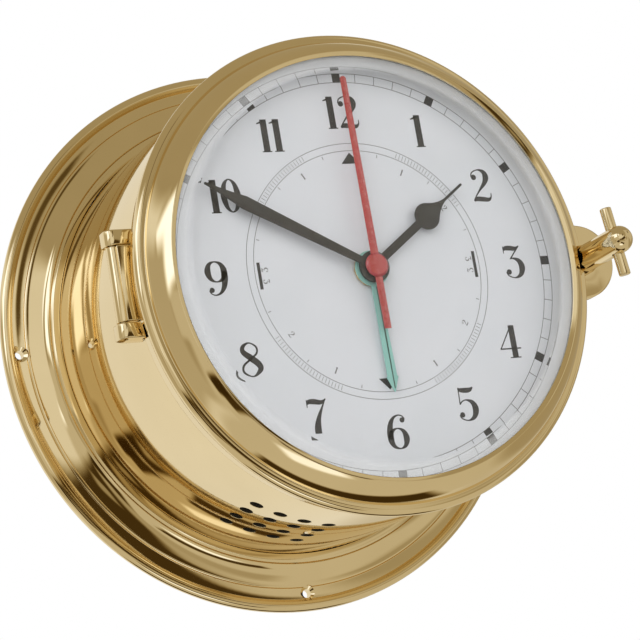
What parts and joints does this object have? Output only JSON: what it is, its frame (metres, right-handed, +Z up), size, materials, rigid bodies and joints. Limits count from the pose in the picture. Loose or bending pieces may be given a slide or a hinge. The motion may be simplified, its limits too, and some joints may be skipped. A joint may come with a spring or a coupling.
{
  "type": "ship's clock with tide hand",
  "caption": "Round brass wall clock with a flanged base, vented drum case, hinged bezel with bevelled glass, cross-bar thumbscrew, and coaxial time and tide hands.",
  "frame": {"origin": "centre of the base flange's back, in the plane of the wall", "axes": "+Z up towards 12 o'clock, +X towards 3 o'clock, +Y into the wall, so the dial faces -Y"},
  "size_m": [0.1798, 0.1076, 0.1798],
  "materials": {
    "polished_brass": "polished and lacquered",
    "turned_brass": "turned",
    "steel": "plain",
    "bevelled_glass": "polished, bevelled rim",
    "black_rubber": "matte",
    "dial_white": "satin paint with black print",
    "hand_black": "satin paint",
    "hand_red": "satin paint",
    "hand_aqua": "satin paint with a dark centre line",
    "black_plastic": "moulded",
    "grey_plastic": "moulded",
    "cell_jacket": "printed jacket left plain",
    "white_nylon": "moulded",
    "copper_wire": "enamelled copper wire, wound",
    "board_green": "lacquered board"
  },
  "bodies": {
    "case": {"base_flange": "polished_brass", "case_drum": "polished_brass", "dial_seat_ring": "polished_brass", "dial_plate": "dial_white", "dial_foot_clip_1": "steel", "dial_foot_clip_2": "steel", "dial_foot_clip_3": "steel", "case_lug": "polished_brass", "hinge_lug_top": "polished_brass", "hinge_lug_bottom": "polished_brass", "hinge_pin": "steel", "centre_bush": "turned_brass", "bush_nut": "turned_brass", "rubber_washer": "black_rubber", "movement_front_shell": "black_plastic", "movement_rear_shell": "black_plastic", "cell_contact_positive": "steel", "cell_contact_negative": "steel", "stator_plate": "steel", "coil_core": "steel", "coil_bobbin": "grey_plastic", "coil_winding": "copper_wire", "circuit_board": "board_green", "crystal_can": "steel"},
    "bezel": {"bezel_ring": "polished_brass", "bezel_hinge_leaf": "polished_brass", "bezel_glass": "bevelled_glass", "glass_gasket": "black_rubber", "glass_snap_ring": "steel"},
    "screw_carrier": {"thumbscrew_washer": "polished_brass"},
    "thumbscrew": {"thumbscrew": "polished_brass", "thumbscrew_bar": "polished_brass", "thumbscrew_clip": "steel"},
    "minute": {"minute_hand": "hand_black", "minute_pipe": "turned_brass", "cannon_pinion": "white_nylon"},
    "hour": {"hour_hand": "hand_black", "hour_pipe": "turned_brass", "hour_wheel": "white_nylon", "tide_drive_wheel": "white_nylon"},
    "tide": {"tide_hand": "hand_aqua", "tide_pipe": "turned_brass", "tide_wheel": "white_nylon"},
    "second": {"second_hand": "hand_red", "second_arbor": "steel", "second_hub_cap": "hand_red", "second_wheel": "white_nylon"},
    "time_knob": {"time_set_knob": "grey_plastic", "time_set_pinion": "white_nylon"},
    "tide_knob": {"tide_set_knob": "grey_plastic", "tide_idler": "white_nylon"},
    "motion": {"motion_wheel": "white_nylon"},
    "centre": {"centre_wheel": "white_nylon"},
    "third": {"third_wheel": "white_nylon"},
    "intermediate": {"intermediate_wheel": "white_nylon"},
    "rotor": {"rotor_pinion": "white_nylon", "rotor_magnet": "steel"},
    "cell": {"cell": "cell_jacket"}
  },
  "joints": [
    {"name": "bezel_swing", "type": "hinge", "parent": "case", "child": "bezel", "pos_m": [-0.0768, -0.074, 0], "axis": [0, 0, -1], "range_deg": [0, 115]},
    {"name": "screw_travel", "type": "slide", "parent": "bezel", "child": "screw_carrier", "axis": [0, -1, 0], "range_m": [0, 0.004]},
    {"name": "screw_turn", "type": "hinge", "parent": "screw_carrier", "child": "thumbscrew", "pos_m": [0.076, 0, 0], "axis": [0, -1, 0], "range_deg": [0, 1440]},
    {"name": "minute_turn", "type": "hinge", "parent": "case", "child": "minute", "pos_m": [0, 0, 0], "axis": [0, 1, 0], "continuous": true},
    {"name": "hour_turn", "type": "hinge", "parent": "case", "child": "hour", "pos_m": [0, 0, 0], "axis": [0, 1, 0], "continuous": true},
    {"name": "tide_turn", "type": "hinge", "parent": "case", "child": "tide", "pos_m": [0, 0, 0], "axis": [0, 1, 0], "continuous": true},
    {"name": "second_turn", "type": "hinge", "parent": "case", "child": "second", "pos_m": [0, 0, 0], "axis": [0, 1, 0], "continuous": true},
    {"name": "time_knob_turn", "type": "hinge", "parent": "case", "child": "time_knob", "pos_m": [0.015, 0, 0.002], "axis": [0, 1, 0], "continuous": true},
    {"name": "tide_knob_turn", "type": "hinge", "parent": "case", "child": "tide_knob", "pos_m": [-0.015, 0, 0.002], "axis": [0, 1, 0], "continuous": true},
    {"name": "motion_turn", "type": "hinge", "parent": "case", "child": "motion", "pos_m": [0.00594, 0, 0.01268], "axis": [0, 1, 0], "continuous": true},
    {"name": "centre_turn", "type": "hinge", "parent": "case", "child": "centre", "pos_m": [0, 0, 0], "axis": [0, 1, 0], "continuous": true},
    {"name": "third_turn", "type": "hinge", "parent": "case", "child": "third", "pos_m": [0, 0, 0.0135], "axis": [0, 1, 0], "continuous": true},
    {"name": "intermediate_turn", "type": "hinge", "parent": "case", "child": "intermediate", "pos_m": [-0.00636, 0, -0.00636], "axis": [0, 1, 0], "continuous": true},
    {"name": "rotor_turn", "type": "hinge", "parent": "case", "child": "rotor", "pos_m": [-0.01655, 0, -0.0089], "axis": [0, 1, 0], "continuous": true},
    {"name": "cell_lift", "type": "slide", "parent": "case", "child": "cell", "axis": [0, 1, 0], "range_m": [0, 0.08]}
  ],
  "couplings": [
    {"joint": "screw_travel", "follows": "screw_turn", "m_per_rad": 0.000159},
    {"joint": "hour_turn", "follows": "minute_turn", "ratio": 0.083333},
    {"joint": "tide_turn", "follows": "minute_turn", "ratio": 0.080508},
    {"joint": "motion_turn", "follows": "minute_turn", "ratio": -0.33333},
    {"joint": "time_knob_turn", "follows": "minute_turn", "ratio": 1},
    {"joint": "tide_knob_turn", "follows": "minute_turn", "ratio": -0.39583},
    {"joint": "centre_turn", "follows": "second_turn", "ratio": 0.016667},
    {"joint": "third_turn", "follows": "second_turn", "ratio": -0.13333},
    {"joint": "intermediate_turn", "follows": "second_turn", "ratio": -5},
    {"joint": "rotor_turn", "follows": "second_turn", "ratio": 30}
  ]
}
